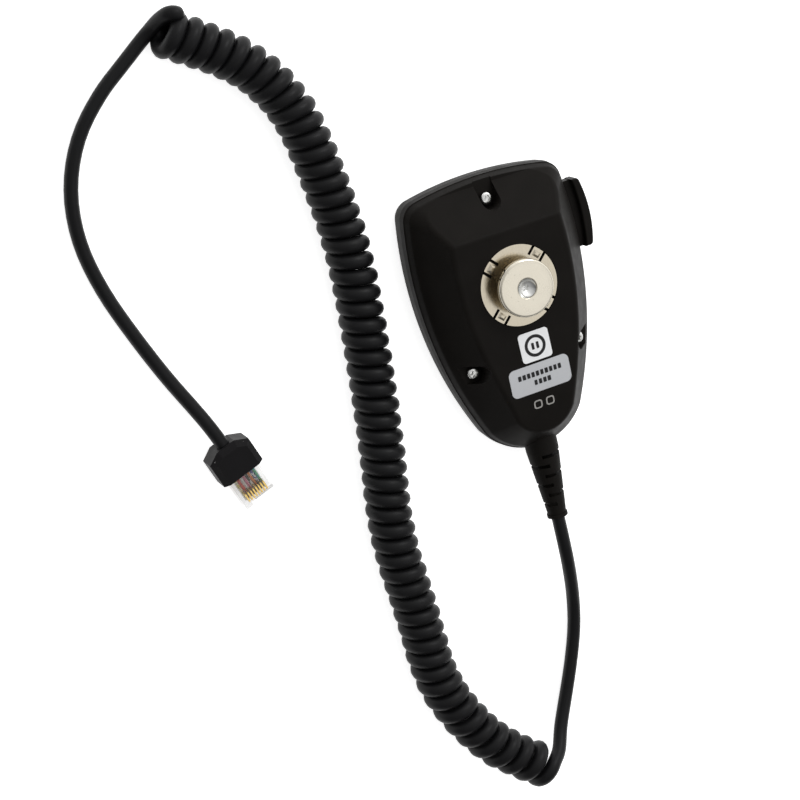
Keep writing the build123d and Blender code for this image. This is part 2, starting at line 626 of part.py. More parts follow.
with BuildPart() as cord_inner_end:
    with BuildSketch(ALONG_CORD.offset(-CORD_STRIPPED_Y)):
        Circle(CORD_DIAMETER / 2)
    extrude(amount=CORD_STRIPPED_Y - RELIEF_END_Y)
keep("cord_inner_end", cord_inner_end)

with BuildPart() as cord_leads:
    header_face_y = -33.4
    for lead in range(4):
        start_x, start_z = (-0.9, -0.3, 0.3, 0.9)[lead] * 1.3, (0.5, -0.6, 0.6, -0.5)[lead]
        end_x = -3.75 + 2.5 * lead
        start = Vector(STUD_X + start_x, STUD_Y + CORD_STRIPPED_Y, RELIEF_Z + start_z)
        end = Vector(STUD_X + end_x, STUD_Y + header_face_y, BOARD_TOP_Z + 2.6)
        with BuildSketch(Plane(origin=start, z_dir=(0, 1, 0))):
            Circle(0.32)
        with BuildSketch(Plane(origin=end, z_dir=(0, 1, 0))):
            Circle(0.32)
        loft()
keep("cord_leads", cord_leads)

clamp_high_z = RELIEF_Z + CORD_DIAMETER / 2 + 1.6
with BuildPart() as cord_clamp:
    add(block((-7.0, 7.0), CLAMP_Y, (RELIEF_Z - CORD_DIAMETER / 2, clamp_high_z)))
    with BuildSketch(ALONG_CORD.offset(-CLAMP_Y[1] - 1)):
        Circle(CORD_DIAMETER / 2)
        with Locations((0, -CORD_DIAMETER / 2)):
            Rectangle(CORD_DIAMETER, CORD_DIAMETER)
    extrude(amount=6, mode=Mode.SUBTRACT)
    for x in (-4.9, 4.9):
        add(upright(x, clamp_mid_y, 0.9, 5.0, 20.0), mode=Mode.SUBTRACT)
keep("cord_clamp", cord_clamp)

with BuildPart() as clamp_screws:
    for x in (-4.9, 4.9):
        add(upright(x, clamp_mid_y, 1.7, clamp_high_z, clamp_high_z + 1.2))
        add(upright(x, clamp_mid_y, 0.9, 4.4, clamp_high_z))
keep("clamp_screws", clamp_screws)

with BuildPart() as strain_relief:
    collar_end_y, taper_end_y = -60.5, -84.0
    with BuildSketch(SIDE):
        with BuildLine():
            Polyline(
                (RELIEF_INNER_Y, RELIEF_Z + CORD_DIAMETER / 2),
                (RELIEF_INNER_Y, RELIEF_Z + 7.0),
                (RELIEF_FLANGE_Y, RELIEF_Z + 7.0),
                (RELIEF_FLANGE_Y, RELIEF_Z + RELIEF_RADIUS),
                (collar_end_y, RELIEF_Z + RELIEF_RADIUS),
                (taper_end_y, RELIEF_Z + RELIEF_TIP_RADIUS),
                (taper_end_y, RELIEF_Z + RELIEF_TIP_RADIUS + 0.35),
                (RELIEF_END_Y, RELIEF_Z + RELIEF_TIP_RADIUS + 0.35),
                (RELIEF_END_Y, RELIEF_Z + CORD_DIAMETER / 2),
                close=True,
            )
        make_face()
    revolve(axis=Axis((STUD_X, STUD_Y, RELIEF_Z), (0, 1, 0)))
    flex_slots, flex_pitch, flex_slot_width = 6, 3.57, 1.4
    for slot in range(flex_slots):
        web_x = 7.6 if slot % 2 else -10.6
        slot_y = -61.2 - flex_pitch * slot
        with BuildSketch(ALONG_CORD.offset(-slot_y)):
            Circle(8.0)
            Circle(CORD_DIAMETER / 2 + 0.45, mode=Mode.SUBTRACT)
            with Locations((web_x, 0)):
                Rectangle(16.0, 20.0, mode=Mode.SUBTRACT)
        extrude(amount=flex_slot_width, mode=Mode.SUBTRACT)
keep("strain_relief", strain_relief)

# ---- Cord: two tails and the curly stretch between --------------------------------------------------------------

cord_tail_mic = cord_tube(MIC_TAIL, CORD_DIAMETER)
keep("cord_tail_mic", cord_tail_mic)
curly_cord = cord_tube(COIL, COIL_DIAMETER)
keep("curly_cord", curly_cord)
cord_tail_plug = cord_tube(PLUG_TAIL, CORD_DIAMETER)
keep("cord_tail_plug", cord_tail_plug)

# ---- Plug -------------------------------------------------------------------------------------------------------

bearing = radians(PLUG_BEARING)
PLUG = Plane(origin=(PLUG_X, PLUG_Y, 0), x_dir=(cos(bearing), sin(bearing), 0), z_dir=(0, 0, 1))
plug_half = PLUG_WIDTH / 2
contact_rows = [(k - (CONTACT_COUNT - 1) / 2) * CONTACT_PITCH for k in range(CONTACT_COUNT)]
wire_z, wire_radius = 5.2, 0.48
contact_x, contact_low_z, contact_top_z = (16.9, 20.4), 5.68, 8.7
wire_start_x, wire_end_x = 7.5, 20.2

with BuildPart() as plug_boot:
    with BuildSketch(PLUG):
        with BuildLine():
            Polyline(
                (0, -3.4),
                (0, 3.4),
                (BOOT_SHOULDER, BOOT_WIDTH / 2),
                (BOOT_LENGTH, BOOT_WIDTH / 2),
                (BOOT_LENGTH, -BOOT_WIDTH / 2),
                (BOOT_SHOULDER, -BOOT_WIDTH / 2),
                (0, -3.4),
            )
        make_face()
    extrude(amount=BOOT_HEIGHT)
    top_edges = plug_boot.edges().group_by(Axis.Z)[-1].sort_by(Axis(PLUG.origin, PLUG.x_dir))
    chamfer(top_edges[:-1], length=BOOT_CHAMFER)
    add(
        block((PLUG_BACK, 30.0), (-plug_half, plug_half), (PLUG_LOW_Z, PLUG_HIGH_Z), plane=PLUG),
        mode=Mode.SUBTRACT,
    )
    add(block((7.5, 30.0), (-2.3, 2.3), (-1.0, PLUG_LOW_Z), plane=PLUG), mode=Mode.SUBTRACT)
    with BuildSketch(Plane(origin=PLUG.from_local_coords((-1, 0, PLUG_CORD_Z)), z_dir=PLUG.x_dir)):
        Circle(CORD_DIAMETER / 2)
    extrude(amount=4, mode=Mode.SUBTRACT)
keep("plug_boot", plug_boot)

with BuildPart() as plug_body:
    add(block((PLUG_BACK, PLUG_TIP), (-plug_half, plug_half), (PLUG_LOW_Z, PLUG_HIGH_Z), plane=PLUG))
    with BuildSketch(Plane(origin=PLUG.from_local_coords((0, 0, PLUG_CORD_Z)), z_dir=PLUG.x_dir)):
        Circle(CORD_DIAMETER / 2)
    extrude(amount=7.5, mode=Mode.SUBTRACT)
    wire_space_x, wire_space_z = (wire_start_x, wire_end_x + 0.1), (wire_z - wire_radius, wire_z + wire_radius)
    add(block(wire_space_x, (-4.3, 4.3), wire_space_z, plane=PLUG), mode=Mode.SUBTRACT)
    # The nose has a notch on one side of its middle and a low step on the other
    nose_x, notch_y, step_z = (PLUG_TIP - 1.2, PLUG_TIP + 1), (-3.1, -1.4), PLUG_HIGH_Z - 2.4
    add(block(nose_x, notch_y, (PLUG_LOW_Z - 1, PLUG_HIGH_Z + 1), plane=PLUG), mode=Mode.SUBTRACT)
    add(block(nose_x, (notch_y[1], plug_half + 1), (step_z, PLUG_HIGH_Z + 1), plane=PLUG), mode=Mode.SUBTRACT)
    for row in contact_rows:
        contact_slot = block(contact_x, (row - 0.3, row + 0.3), (wire_z, PLUG_HIGH_Z + 1), plane=PLUG)
        add(contact_slot, mode=Mode.SUBTRACT)
keep("plug_body", plug_body)

with BuildPart() as plug_contacts:
    for row in contact_rows:
        add(block(contact_x, (row - 0.17, row + 0.17), (contact_low_z, contact_top_z), plane=PLUG))
keep("plug_contacts", plug_contacts)

with BuildPart() as plug_wires:
    for row in contact_rows:
        wire_start = PLUG.from_local_coords((wire_start_x, row, wire_z))
        with BuildSketch(Plane(origin=wire_start, z_dir=PLUG.x_dir)):
            Circle(wire_radius)
        extrude(amount=wire_end_x - wire_start_x)
keep("plug_wires", plug_wires)

with BuildPart() as plug_latch:
    root_x, knee_x, tip_x, latch_thickness = 20.4, 13.5, 8.0, 0.9
    latch_side = Plane(origin=PLUG.origin, x_dir=PLUG.x_dir, z_dir=PLUG.x_dir.cross(Vector(0, 0, 1)))
    latch_high_z, tip_drop = PLUG_LOW_Z - 0.05, 1.15
    with BuildSketch(latch_side):
        with BuildLine():
            Polyline(
                (root_x, latch_high_z),
                (tip_x, latch_high_z - tip_drop),
                (tip_x, latch_high_z - tip_drop - latch_thickness),
                (root_x, latch_high_z - latch_thickness),
                close=True,
            )
        make_face()
    extrude(amount=3.1, both=True)
    for side in (-1, 1):
        cut_y = (1.7, 4.0) if side > 0 else (-4.0, -1.7)
        add(block((0.0, knee_x), cut_y, (-2.0, 4.0), plane=PLUG), mode=Mode.SUBTRACT)
keep("plug_latch", plug_latch)

# ---- Files ------------------------------------------------------------------------------------------------------

os.makedirs("parts", exist_ok=True)
for name, piece in parts.items():
    export_step(piece, f"parts/{name}.step")
print(len(parts), "nodes")
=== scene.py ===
import json
from math import asin, cos, degrees, pi, radians, sin

import bmesh
import bpy
from mathutils import Matrix, Vector, noise
from mathutils.bvhtree import BVHTree


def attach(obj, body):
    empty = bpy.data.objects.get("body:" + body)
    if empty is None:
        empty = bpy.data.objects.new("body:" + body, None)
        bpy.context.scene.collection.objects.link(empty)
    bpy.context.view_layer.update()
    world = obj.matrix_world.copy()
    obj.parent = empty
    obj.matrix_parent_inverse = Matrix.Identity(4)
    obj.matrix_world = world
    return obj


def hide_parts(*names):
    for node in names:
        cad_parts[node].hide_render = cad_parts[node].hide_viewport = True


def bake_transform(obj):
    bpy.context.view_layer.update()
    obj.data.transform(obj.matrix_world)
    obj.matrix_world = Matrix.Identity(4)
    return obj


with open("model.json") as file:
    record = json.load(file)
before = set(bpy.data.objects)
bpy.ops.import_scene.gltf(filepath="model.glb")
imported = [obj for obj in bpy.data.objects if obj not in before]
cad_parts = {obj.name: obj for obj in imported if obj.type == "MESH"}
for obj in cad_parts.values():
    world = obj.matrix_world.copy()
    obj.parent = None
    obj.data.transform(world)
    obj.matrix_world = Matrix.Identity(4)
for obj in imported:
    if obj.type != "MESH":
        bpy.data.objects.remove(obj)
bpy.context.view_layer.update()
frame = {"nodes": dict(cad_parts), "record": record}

# Looks for a hand microphone that lies on its front face. Metres, in the CAD model's frame.

nodes = frame["nodes"]
MM = 0.001
UP = Vector((0, 0, 1))

# Places that the CAD model fixes
STUD_X, STUD_Y = -2.6 * MM, 24.65 * MM
PLATEAU_Z = 26.0 * MM

# ---- Node trees ----------------------------------------------------------------------------------


class Tree:
    """A material's node tree, with short calls to add and join its nodes."""

    def __init__(self, name):
        self.material = bpy.data.materials.new(name)
        self.material.use_nodes = True
        self.nodes = self.material.node_tree.nodes
        self.links = self.material.node_tree.links
        self.shader = self.nodes["Principled BSDF"]
        self.place = self.add("ShaderNodeTexCoord").outputs["Object"]

    def add(self, kind, settings=None, **inputs):
        """Add a node. Inputs are values or outputs, by the input's name with _ for a space."""
        made = self.nodes.new(kind)
        for key, value in (settings or {}).items():
            setattr(made, key, value)
        for key, value in inputs.items():
            self.put(made.inputs[key.replace("_", " ")], value)
        return made

    def put(self, socket, value):
        """Join another node's output to a socket, or set the socket's own value."""
        if isinstance(value, bpy.types.NodeSocket):
            self.links.new(value, socket)
        else:
            socket.default_value = value

    def set(self, **inputs):
        """Set the surface's own inputs."""
        for key, value in inputs.items():
            self.put(self.shader.inputs[key.replace("_", " ")], value)

    def maths(self, operation, *values, clamp=False):
        """Join values or outputs by one operation."""
        made = self.nodes.new("ShaderNodeMath")
        made.operation = operation
        made.use_clamp = clamp
        for socket, value in zip(made.inputs, values):
            self.put(socket, value)
        return made.outputs[0]

    def noise(self, size, detail=3.0, roughness=0.5, place=None):
        """Cloudy noise from 0 to 1, whose blobs are about size metres across."""
        made = self.add("ShaderNodeTexNoise", Scale=1 / size, Detail=detail, Roughness=roughness)
        self.links.new(place or self.place, made.inputs["Vector"])
        return made.outputs["Fac"]

    def cells(self, size, feature="F1", place=None):
        """Distance from the middle of the nearest cell, in cells of about size metres."""
        made = self.add("ShaderNodeTexVoronoi", {"feature": feature}, Scale=1 / size)
        self.links.new(place or self.place, made.inputs["Vector"])
        return made.outputs["Distance"]

    def span(self, value, low, high, to_low=0.0, to_high=1.0):
        """Map a value's range to another, held within it."""
        made = self.add("ShaderNodeMapRange", {"clamp": True})
        for socket, given in zip(made.inputs, (value, low, high, to_low, to_high)):
            self.put(socket, given)
        return made.outputs[0]

    def mix(self, share, first, second):
        """The first colour where share is 0, the second where it is 1."""
        made = self.add("ShaderNodeMix", {"data_type": "RGBA"})
        self.put(made.inputs[0], share)
        self.put(made.inputs[6], first)
        self.put(made.inputs[7], second)
        return made.outputs[2]

    def bump(self, *layers):
        """Add bumps, each a height from 0 to 1 and its depth in metres."""
        normal = None
        for height, depth in layers:
            made = self.add("ShaderNodeBump", Strength=1.0, Distance=depth, Height=height)
            if normal:
                self.links.new(normal, made.inputs["Normal"])
            normal = made.outputs["Normal"]
        self.links.new(normal, self.shader.inputs["Normal"])

    def axes(self):
        """The place's x, y and z."""
        return self.add("ShaderNodeSeparateXYZ", Vector=self.place).outputs

    def stretched(self, x, y, z):
        """The place, drawn out along each axis by a factor."""
        made = self.add("ShaderNodeVectorMath", {"operation": "DIVIDE"})
        self.links.new(self.place, made.inputs[0])
        made.inputs[1].default_value = (x, y, z)
        return made.outputs[0]

    def out_from(self, x, y):
        """Distance from the upright line at x, y."""
        place = self.axes()
        across = self.maths("SUBTRACT", place[0], x)
        up = self.maths("SUBTRACT", place[1], y)
        squares = [self.maths("MULTIPLY", side, side) for side in (across, up)]
        return self.maths("SQRT", self.maths("ADD", *squares))

    def edges(self, radius):
        """1 where the surface turns within radius, 0 where it is flat."""
        rounded = self.add("ShaderNodeBevel", {"samples": 4}, Radius=radius).outputs[0]
        flat = self.add("ShaderNodeNewGeometry").outputs["Normal"]
        turn = self.add("ShaderNodeVectorMath", {"operation": "DOT_PRODUCT"})
        self.links.new(rounded, turn.inputs[0])
        self.links.new(flat, turn.inputs[1])
        still_flat, fully_turned = 0.99, 0.8
        return self.span(turn.outputs["Value"], still_flat, fully_turned)


# ---- Materials -----------------------------------------------------------------------------------


# Sizes of the patches on moulded pieces, and how wide their worn edges with a painted highlight are
TONE_PATCH, GLOSS_PATCH, WORN_HIGHLIGHT_PATCH = 9 * MM, 4 * MM, 2.5 * MM
DUST_SPECK, SINK_MARK, SINK_DEPTH = 0.3 * MM, 14 * MM, 0.02 * MM
EDGE_WIDTH, WORN_HIGHLIGHT_LEAST, WORN_HIGHLIGHT_MOST = 0.4 * MM, 0.1, 0.5
# Sizes of the scratches, clouds and pits on plated pieces
SCRATCH, SCRATCH_DEPTH, CLOUD = 0.25 * MM, 0.004 * MM, 3 * MM
PIT_CELL, PIT_DEPTH, PIT_PATCH = 1.3 * MM, 0.03 * MM, 5 * MM


def paler(colour, factor, lift=0.0):
    """A colour times a factor, plus a lift, as an opaque colour."""
    return [min(1, c * factor + lift) for c in colour[:3]] + [1]


def moulded(name, colour, roughness, grain, depth, shine):
    """Moulded plastic or rubber: fine grain, uneven gloss, dust, and edges painted paler as partly
    wear and partly a painted highlight.
    """
    t = Tree(name)
    body = t.mix(t.noise(TONE_PATCH, 4), paler(colour, 0.75), paler(colour, 1.25))
    dust = t.span(t.noise(DUST_SPECK, 2), 0.66, 0.74, 0, 0.2)
    body = t.mix(dust, body, paler(colour, 1.8, 0.006))
    # Edges are painted paler and glossier in patches: partly wear, partly a painted highlight along
    # the edges
    patches = t.span(t.noise(WORN_HIGHLIGHT_PATCH, 3), 0.35, 0.7, WORN_HIGHLIGHT_LEAST, WORN_HIGHLIGHT_MOST)
    worn_highlight = t.maths("MULTIPLY", t.edges(EDGE_WIDTH), patches)
    t.set(Base_Color=t.mix(worn_highlight, body, paler(colour, 2.0, 0.008)))
    uneven = t.span(t.noise(GLOSS_PATCH, 5), 0.3, 0.7, roughness - 0.05, roughness + 0.05)
    t.set(Roughness=t.maths("SUBTRACT", uneven, t.maths("MULTIPLY", worn_highlight, 0.1)))
    t.set(Specular_IOR_Level=shine)
    t.bump((t.noise(grain, 2), depth), (t.noise(SINK_MARK, 2), SINK_DEPTH))
    return t.material


def plated_tree(name, colour, roughness, grain, pits=0.0):
    """Plated metal: drawn-out scratches, cloudy gloss, and small dark pits where pits isn't 0."""
    t = Tree(name)
    scratches = t.noise(SCRATCH, 3, place=t.stretched(*grain))
    cloud = t.noise(CLOUD, 4)
    tone = t.mix(cloud, paler(colour, 0.86), paler(colour, 1.08))
    tone = t.mix(t.span(scratches, 0.35, 0.75, 0, 0.35), tone, paler(colour, 0.72))
    rough = t.span(cloud, 0.3, 0.7, roughness - 0.04, roughness + 0.06)
    layers = [(scratches, SCRATCH_DEPTH)]
    if pits:
        hole = t.maths("LESS_THAN", t.cells(PIT_CELL), pits)
        kept = t.maths("MULTIPLY", hole, t.maths("GREATER_THAN", t.noise(PIT_PATCH, 1), 0.52))
        tone = t.mix(kept, tone, paler(colour, 0.16))
        layers.append((t.maths("SUBTRACT", 1.0, kept), PIT_DEPTH))
    t.set(Base_Color=tone, Metallic=1.0, Roughness=rough)
    t.bump(*layers)
    return t


def plated(name, colour, roughness, grain):
    return plated_tree(name, colour, roughness, grain).material


def stud_nickel():
    """The stud: satin on its flat top, bright round its rim and in its hole."""
    t = plated_tree("stud_nickel", (0.76, 0.71, 0.60), 0.22, (1, 1, 1), pits=0.07)
    out = t.out_from(STUD_X, STUD_Y)
    satin = t.shader.inputs["Roughness"].links[0].from_socket
    rim = t.span(out, 8.75 * MM, 9.0 * MM)
    hole = t.span(out, 3.5 * MM, 3.3 * MM)
    bright = t.maths("ADD", rim, hole, clamp=True)
    t.set(Roughness=t.maths("SUBTRACT", satin, t.maths("MULTIPLY", bright, 0.14)))
    return t.material


def film(name, colour):
    """A printed label's film: faint fibres and handling marks."""
    t = Tree(name)
    roughness = 0.35
    fibres = t.noise(0.2 * MM, 4, place=t.stretched(4, 1, 1))
    tone = t.mix(fibres, paler(colour, 0.95), paler(colour, 1.03))
    marks = t.span(t.noise(3 * MM, 5), 0.58, 0.72, 0, 0.3)
    tone = t.mix(marks, tone, paler(colour, 0.88))
    t.set(Base_Color=tone, Roughness=t.span(marks, 0, 0.3, roughness, roughness + 0.15))
    t.set(Specular_IOR_Level=0.3)
    t.bump((fibres, 0.004 * MM))
    return t.material


def clear_resin():
    """Clear moulded plastic, a little milky, with flow lines."""
    t = Tree("clear_resin")
    flow = t.noise(2.2 * MM, 4, place=t.stretched(1, 3, 1))
    t.set(Base_Color=t.mix(flow, (0.15, 0.145, 0.125, 1), (0.26, 0.25, 0.22, 1)))
    t.set(Alpha=t.span(flow, 0.3, 0.7, 0.17, 0.27))
    t.set(Roughness=t.span(flow, 0.3, 0.7, 0.06, 0.16))
    t.set(Specular_IOR_Level=0.6, Coat_Weight=0.4, Coat_Roughness=0.08)
    t.bump((flow, 0.03 * MM))
    return t.material


def insulation(name, colour, stripe=None):
    """Wire insulation, with a broken stripe of a second colour where there is one."""
    t = Tree(name)
    tone = t.mix(t.noise(0.8 * MM, 3), paler(colour, 0.8), paler(colour, 1.15))
    if stripe:
        band = t.maths("GREATER_THAN", t.noise(1.1 * MM, 1), 0.52)
        tone = t.mix(band, tone, stripe)
    t.set(Base_Color=tone, Roughness=0.38, Specular_IOR_Level=0.4)
    t.bump((t.noise(0.3 * MM, 2), 0.01 * MM))
    return t.material


def solder_mask():
    """A circuit board: green mask over copper tracks."""
    t = Tree("solder_mask")
    tracks = t.span(t.cells(4.2 * MM, "DISTANCE_TO_EDGE"), 0.05, 0.08)
    copper, mask = (0.06, 0.30, 0.10, 1), (0.015, 0.12, 0.045, 1)
    t.set(Base_Color=t.mix(tracks, copper, mask), Roughness=0.3)
    t.bump((tracks, -0.03 * MM), (t.noise(0.4 * MM, 3), 0.01 * MM))
    return t.material


def weave():
    """Acoustic cloth: a plain weave of fine threads, with painted shade in the gaps between them.
    """
    t = Tree("acoustic_weave")
    place = t.axes()
    thread_pitch = 0.5 * MM
    thread = 2 * pi / thread_pitch
    over = t.maths("SINE", t.maths("MULTIPLY", place[0], thread))
    under = t.maths("SINE", t.maths("MULTIPLY", place[1], thread))
    height = t.span(t.maths("MULTIPLY", over, under), -1, 1)
    # The gaps between the threads are painted darker than the thread tops: painted shade
    gap_shade, top = (0.005, 0.005, 0.006, 1), (0.035, 0.035, 0.038, 1)
    t.set(Base_Color=t.mix(height, gap_shade, top), Roughness=0.9)
    t.bump((height, 0.08 * MM))
    return t.material


BLACK = (0.0092, 0.0081, 0.0071)
# Each slot's material, colour, roughness, grain's size and depth in millimetres, and shine
MOULDED = [
    ("case_plastic", "case_black", BLACK, 0.46, 0.55, 0.012, 0.05),
    ("ptt_plastic", "bar_black", paler(BLACK, 0.9), 0.42, 0.4, 0.006, 0.06),
    ("relief_rubber", "relief_black", BLACK, 0.55, 0.7, 0.02, 0.06),
    ("seal_rubber", "seal_black", paler(BLACK, 0.6), 0.6, 0.5, 0.02, 0.08),
    ("cord_jacket", "cord_satin", (0.0060, 0.0060, 0.0066), 0.42, 0.6, 0.01, 0.16),
    ("boot_plastic", "boot_black", (0.0085, 0.0080, 0.0086), 0.42, 0.5, 0.008, 0.08),
    ("switch_plastic", "switch_black", (0.012, 0.012, 0.013), 0.45, 0.4, 0.01, 0.3),
    ("plunger_plastic", "plunger_red", (0.45, 0.02, 0.015), 0.35, 0.4, 0.005, 0.4),
    ("chip_epoxy", "chip_epoxy", (0.012, 0.012, 0.012), 0.6, 0.3, 0.01, 0.3),
    ("capacitor_sleeve", "capacitor_blue", (0.02, 0.03, 0.12), 0.3, 0.5, 0.01, 0.5),
    ("header_nylon", "header_nylon", (0.75, 0.70, 0.58), 0.45, 0.5, 0.02, 0.4),
]
# Each slot's material, colour, roughness, and how far its scratches are drawn out along x, y and z
PLATED = [
    ("plate_nickel", "plate_nickel", (0.60, 0.54, 0.43), 0.2, (1, 12, 1)),
    ("screw_steel", "screw_steel", (0.82, 0.82, 0.80), 0.16, (1, 3, 1)),
    ("spring_steel", "spring_steel", (0.60, 0.60, 0.61), 0.3, (4, 1, 1)),
    ("brass", "lug_brass", (0.72, 0.55, 0.25), 0.3, (1, 4, 1)),
    ("capsule_metal", "capsule_aluminium", (0.78, 0.78, 0.78), 0.32, (6, 1, 1)),
    ("contact_gold", "contact_gold", (0.95, 0.66, 0.22), 0.2, (4, 1, 1)),
]
SLOT_LOOKS = {
    slot: moulded(name, colour, roughness, grain * MM, depth * MM, shine)
    for slot, name, colour, roughness, grain, depth, shine in MOULDED
}
SLOT_LOOKS["stud_nickel"] = stud_nickel()
SLOT_LOOKS.update({slot: plated(*look) for slot, *look in PLATED})
SLOT_LOOKS.update(
    label_white=film("label_white", (0.93, 0.94, 0.95)),
    label_grey=film("label_grey", (0.56, 0.57, 0.59)),
    clear_plastic=clear_resin(),
    board_laminate=solder_mask(),
    acoustic_cloth=weave(),
    wire_insulation=insulation("lead_red", (0.5, 0.04, 0.03)),
)
INK = moulded("label_ink", (0.012, 0.012, 0.013), 0.5, 0.4 * MM, 0.004 * MM, 0.3)
PALE_INK = moulded("case_ink", (0.36, 0.35, 0.33), 0.5, 0.4 * MM, 0.004 * MM, 0.3)

# ---- Shapes --------------------------------------------------------------------------------------


def add_piece(name, mesh, material, replaced=(), body="microphone"):
    """Put a mesh in the scene as a piece that rides a body and stands for CAD nodes."""
    made = bpy.data.objects.new(name, mesh)
    bpy.context.collection.objects.link(made)
    if material:
        mesh.materials.append(material)
    if body:
        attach(made, body)
    if replaced:
        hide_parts(*replaced)
    return made


def smooth(mesh, angle):
    """Shade a mesh smooth, but sharp where it turns by more than the angle in degrees."""
    mesh.polygons.foreach_set("use_smooth", [True] * len(mesh.polygons))
    mesh.set_sharp_from_angle(angle=radians(angle))


def arc(centre, radius, start, end, steps=8):
    """Points of a profile's round stretch, from one angle in degrees to another."""
    turns = [radians(start + (end - start) * k / steps) for k in range(steps + 1)]
    return [(centre[0] + radius * cos(a), centre[1] + radius * sin(a)) for a in turns]


def turn(bm, x, y, profile, segments=96, lobes=()):
    """Turn a closed profile of (radius, height) in millimetres about the upright line at x, y.

    Points whose indices are in lobes follow a six-lobed star instead of a circle.
    """
    swing, axis_radius = 0.16, 0.002
    rings = []
    for index, (radius, height) in enumerate(profile):
        ring = []
        for k in range(segments):
            angle = 2 * pi * k / segments
            swell = 1 + swing * cos(6 * angle) if index in lobes else 1
            out = max(radius, axis_radius) * swell
            place = Vector((x + out * cos(angle), y + out * sin(angle), height))
            ring.append(bm.verts.new(place * MM))
        rings.append(ring)
    for low, high in zip(rings, rings[1:] + rings[:1]):
        for k in range(segments):
            follow = (k + 1) % segments
            bm.faces.new((low[k], low[follow], high[follow], high[k]))


def to_mesh(bm, name):
    """Turn a bmesh's faces outward and make a mesh of it."""
    bmesh.ops.recalc_face_normals(bm, faces=bm.faces)
    mesh = bpy.data.meshes.new(name)
    bm.to_mesh(mesh)
    bm.free()
    return mesh


def add_stud():
    """The hang-up stud, with a soft rim and a chamfered hole, and the screw sunk in it."""
    x, y = STUD_X / MM, STUD_Y / MM
    foot, neck, neck_top, top = 26.0, 4.6, 29.9, 32.5
    bore, seat, seat_low, seat_high, hole = 1.75, 3.0, 29.6, 31.2, 3.25
    flat_edge, mouth = 6.0, 3.6
    profile = [(bore, foot), (neck, foot), (neck, neck_top)]
    profile += arc((5.0, neck_top), 0.4, 180, 90, 4)
    profile += arc((9.2, 30.7), 0.4, -90, 0, 4) + arc((8.75, 31.65), 0.85, 0, 90)
    profile += [(flat_edge, top), (mouth, top)] + arc((mouth, 32.15), 0.35, 90, 180, 4)
    profile += [(hole, seat_high), (seat, seat_high), (bore, seat_low)]
    bm = bmesh.new()
    turn(bm, x, y, profile, 160)
    mesh = to_mesh(bm, "hang_up_stud_turned")
    smooth(mesh, 50)
    look = SLOT_LOOKS["stud_nickel"]
    add_piece("hang_up_stud_turned", mesh, look, ["hang_up_stud"])

    bowl_depth, bowl_rim, bowl_top = 1.7, 3.15, 32.15
    bowl_radius = (bowl_rim**2 + bowl_depth**2) / (2 * bowl_depth)
    edge = 90 - degrees(asin(bowl_rim / bowl_radius))
    bowl = arc((0, bowl_top - bowl_depth + bowl_radius), bowl_radius, -edge, -72, 8)
    low = bowl[-1][1]
    recess = [(1.02, low - 0.1), (0.98, low - 0.9), (0.0, low - 1.2)]
    tip, head = 15.2, 3.2
    profile = [(0.0, tip), (1.6, tip), (bore, 15.4), (bore, seat_low), (seat, seat_high)]
    profile += [(head, 31.25), (head, 32.1)] + bowl + recess
    bm = bmesh.new()
    count = len(profile)
    turn(bm, x, y, profile, 96, lobes=(count - 3, count - 2))
    mesh = to_mesh(bm, "stud_screw_turned")
    smooth(mesh, 40)
    look = SLOT_LOOKS["screw_steel"]
    add_piece("stud_screw_turned", mesh, look, ["stud_screw"])


# Each cover screw's x and y, and the height that its head sits at
COVER_SCREWS = [(16.6, -1.15, 16.3), (-21.8, -1.15, 16.3), (-2.6, 52.75, 13.5)]


def add_cover_screws():
    """Pan-head screws with a six-lobed recess."""
    bm = bmesh.new()
    for x, y, seat in COVER_SCREWS:
        dome = arc((1.35, seat + 1.05), 0.8, 0, 90, 6)
        shank = 1.4
        profile = [(0.0, 3.4), (0.9, 3.5), (shank, 4.4), (shank, seat)]
        profile += [(2.05, seat), (2.15, seat + 0.12)] + dome
        profile += [(1.15, seat + 1.87), (1.05, seat + 1.7)]
        profile += [(1.0, seat + 0.9), (0.0, seat + 0.8)]
        count = len(profile)
        turn(bm, x, y, profile, 72, lobes=(count - 4, count - 3, count - 2))
    mesh = to_mesh(bm, "cover_screws_turned")
    smooth(mesh, 40)
    look = SLOT_LOOKS["screw_steel"]
    add_piece("cover_screws_turned", mesh, look, ["cover_screws"])


def add_springs():
    """The bar's two return springs, of round wire, which run between the case and the bar."""
    seat, flange, height, held = 18.2, 23.6, 8.8, 0.6
    radius, wire, turns, steps, sides = 1.8, 0.25, 4, 28, 10
    start, end = seat + wire, flange - wire
    bm = bmesh.new()
    for along_case in (5.2, 20.8):
        rings = []
        for k in range(turns * steps + 1):
            angle = 2 * pi * k / steps
            outward = Vector((0, cos(angle), sin(angle)))
            reach = start + (end - start) * k / (turns * steps)
            centre = Vector((reach, along_case, height)) + outward * radius
            centre += Vector((STUD_X / MM, STUD_Y / MM, 0))
            ring = []
            for side in range(sides):
                swing = 2 * pi * side / sides
                place = centre + outward * (wire * cos(swing))
                place += Vector((wire * sin(swing), 0, 0))
                ring.append(bm.verts.new(place * MM))
            rings.append(ring)
        for low, high in zip(rings, rings[1:]):
            for side in range(sides):
                follow = (side + 1) % sides
                bm.faces.new((low[side], low[follow], high[follow], high[side]))
        bm.faces.new(rings[0])
        bm.faces.new(rings[-1])
    mesh = to_mesh(bm, "ptt_springs_wound")
    smooth(mesh, 60)
    look = SLOT_LOOKS["spring_steel"]
    springs = add_piece("ptt_springs_wound", mesh, look, ["ptt_springs"], None)
    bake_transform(springs)


def flat_shape(bm, outline, hole):
    """Fill an outline, less its hole if it has one, which has the same number of points."""
    outer = [bm.verts.new(p) for p in outline]
    inner = [bm.verts.new(p) for p in hole]
    if not inner:
        bm.faces.new(outer)
        return
    count = len(outer)
    for k in range(count):
        follow = (k + 1) % count
        bm.faces.new((outer[k], outer[follow], inner[follow], inner[k]))


